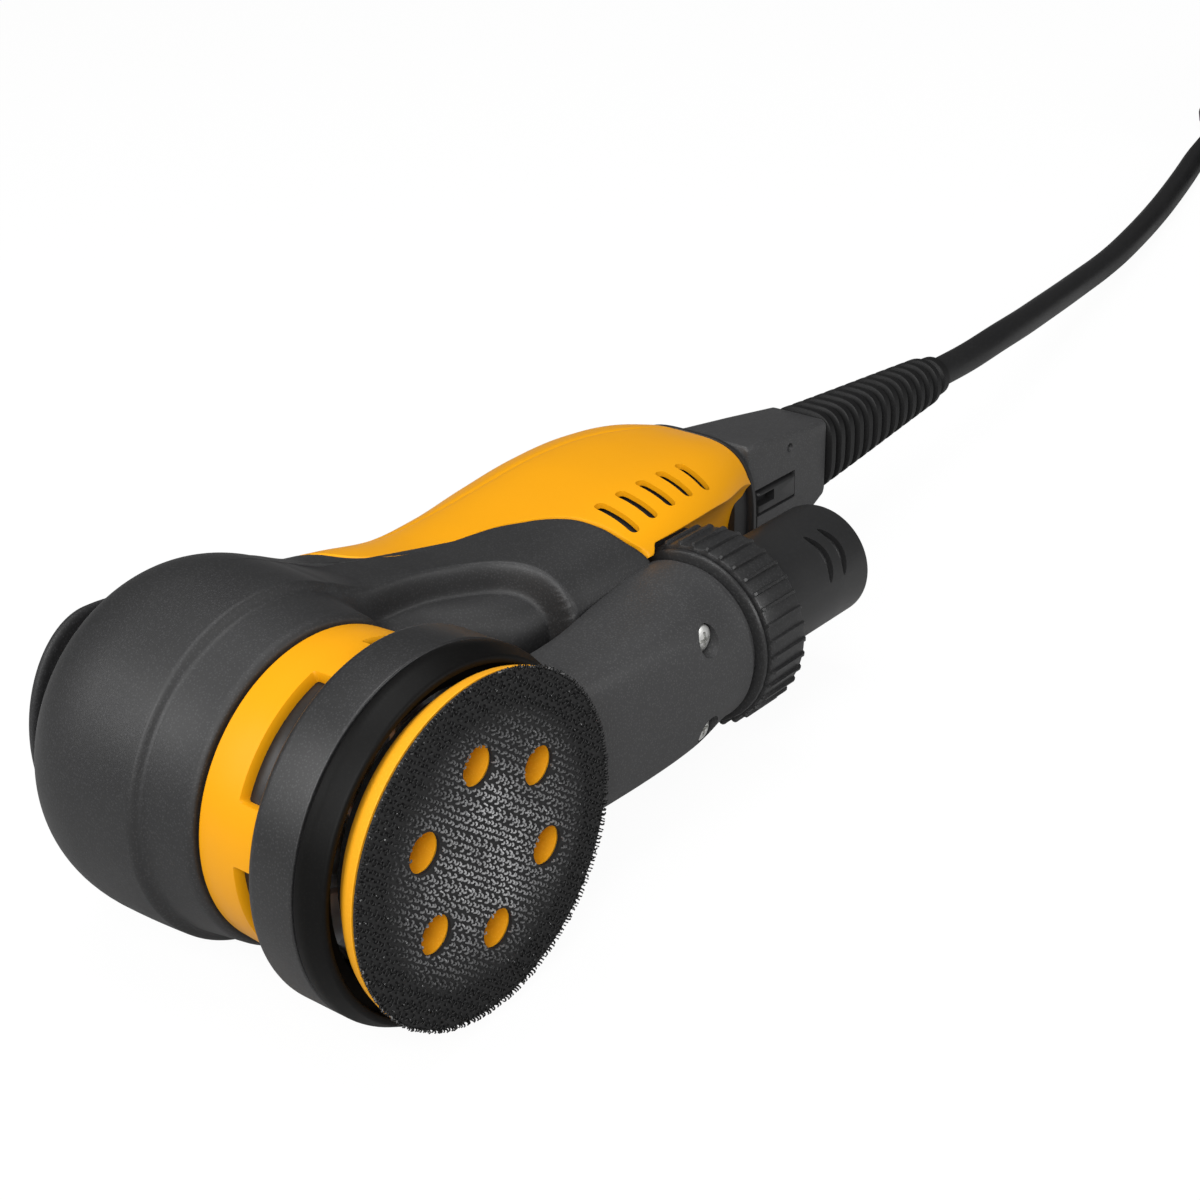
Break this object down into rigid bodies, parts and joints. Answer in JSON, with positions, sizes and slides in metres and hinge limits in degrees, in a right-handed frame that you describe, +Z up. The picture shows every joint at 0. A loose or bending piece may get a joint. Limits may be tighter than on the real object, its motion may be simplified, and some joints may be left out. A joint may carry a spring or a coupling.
{
  "type": "random orbital sander",
  "caption": "Compact corded random orbital sander with a round hook pad, palm lever, dust outlet spigot, detachable mains connector and a tied mains lead with plug.",
  "frame": {"origin": "on the floor under the middle of the machine's box, the mains lead left out", "axes": "+Z up with the machine lying on its right side, +X back along the handle, the pad faces -Y"},
  "size_m": [0.7541, 0.1678, 0.0822],
  "materials": {
    "black_plastic": "fine moulded texture",
    "overmould": "soft matt overmould",
    "yellow_plastic": "smooth satin moulding",
    "pad_foam": "closed-cell foam",
    "hook_fabric": "hook pile",
    "rubber": "matt rubber",
    "steel": "bright zinc",
    "aluminium": "as cast",
    "lamination": "stacked sheet",
    "copper": "enamelled wire",
    "circuit_board": "lacquered",
    "light_pipe": "clear"
  },
  "bodies": {
    "housing": {"dust_duct": "black_plastic", "shroud_band": "black_plastic", "inlet_frame": "black_plastic", "connector_body": "black_plastic", "mains_plug": "black_plastic", "motor_can": "black_plastic", "grip_shell": "overmould", "handle_cover": "yellow_plastic", "handle_shell": "yellow_plastic", "motor_ring": "yellow_plastic", "brake_skirt": "rubber", "strain_relief": "rubber", "cord_lead": "rubber", "cord_coil": "rubber", "cord_tail": "rubber", "coil_tie": "rubber", "lower_bearing": "steel", "upper_bearing": "steel", "lever_pin": "steel", "lever_spring": "steel", "duct_screw_left": "steel", "duct_screw_right": "steel", "bearing_plate": "aluminium", "filter_capacitor": "aluminium", "stator_core": "lamination", "upper_windings": "copper", "lower_windings": "copper", "control_board": "circuit_board", "status_light": "light_pipe"},
    "spindle": {"spindle": "steel", "pad_bearing": "steel", "rotor_core": "lamination", "cooling_fan": "black_plastic", "dust_fan": "aluminium"},
    "pad": {"hook_face": "hook_fabric", "pad_foam": "pad_foam", "pad_plate": "black_plastic", "pad_bolt": "steel"},
    "lever": {"lever": "black_plastic"},
    "power_button": {"power_button": "black_plastic"},
    "speed_up_button": {"speed_up_button": "black_plastic"},
    "speed_down_button": {"speed_down_button": "black_plastic"},
    "connector_latch": {"connector_latch": "black_plastic"},
    "collar": {"collar_nut": "black_plastic"},
    "spigot": {"dust_spigot": "black_plastic"}
  },
  "joints": [
    {"name": "spindle_spin", "type": "hinge", "parent": "housing", "child": "spindle", "pos_m": [-0.1184, -0.0543, 0.0412], "axis": [0, 1, 0], "continuous": true},
    {"name": "pad_spin", "type": "hinge", "parent": "spindle", "child": "pad", "pos_m": [-0.11715, -0.0543, 0.04109], "axis": [0, 1, 0], "continuous": true},
    {"name": "lever_press", "type": "hinge", "parent": "housing", "child": "lever", "pos_m": [-0.06659, 0.0483, 0.03668], "axis": [0.0868, 0, 0.9962], "range_deg": [0, 2.5], "stiffness_Nm_per_rad": 2},
    {"name": "power_button_press", "type": "slide", "parent": "housing", "child": "power_button", "axis": [0, -1, 0], "range_m": [0, 0.001], "stiffness_N_per_m": 400},
    {"name": "speed_up_button_press", "type": "slide", "parent": "housing", "child": "speed_up_button", "axis": [0, -1, 0], "range_m": [0, 0.001], "stiffness_N_per_m": 400},
    {"name": "speed_down_button_press", "type": "slide", "parent": "housing", "child": "speed_down_button", "axis": [0, -1, 0], "range_m": [0, 0.001], "stiffness_N_per_m": 400},
    {"name": "connector_latch_press", "type": "slide", "parent": "housing", "child": "connector_latch", "axis": [0, 1, 0], "range_m": [0, 0.0012], "stiffness_N_per_m": 600},
    {"name": "collar_turn", "type": "hinge", "parent": "housing", "child": "collar", "pos_m": [-0.01549, -0.0293, 0.03223], "axis": [0.9962, 0, -0.0868], "range_deg": [0, 60]},
    {"name": "spigot_swivel", "type": "hinge", "parent": "housing", "child": "spigot", "pos_m": [-0.01549, -0.0293, 0.03223], "axis": [0.9962, 0, -0.0868], "continuous": true}
  ]
}
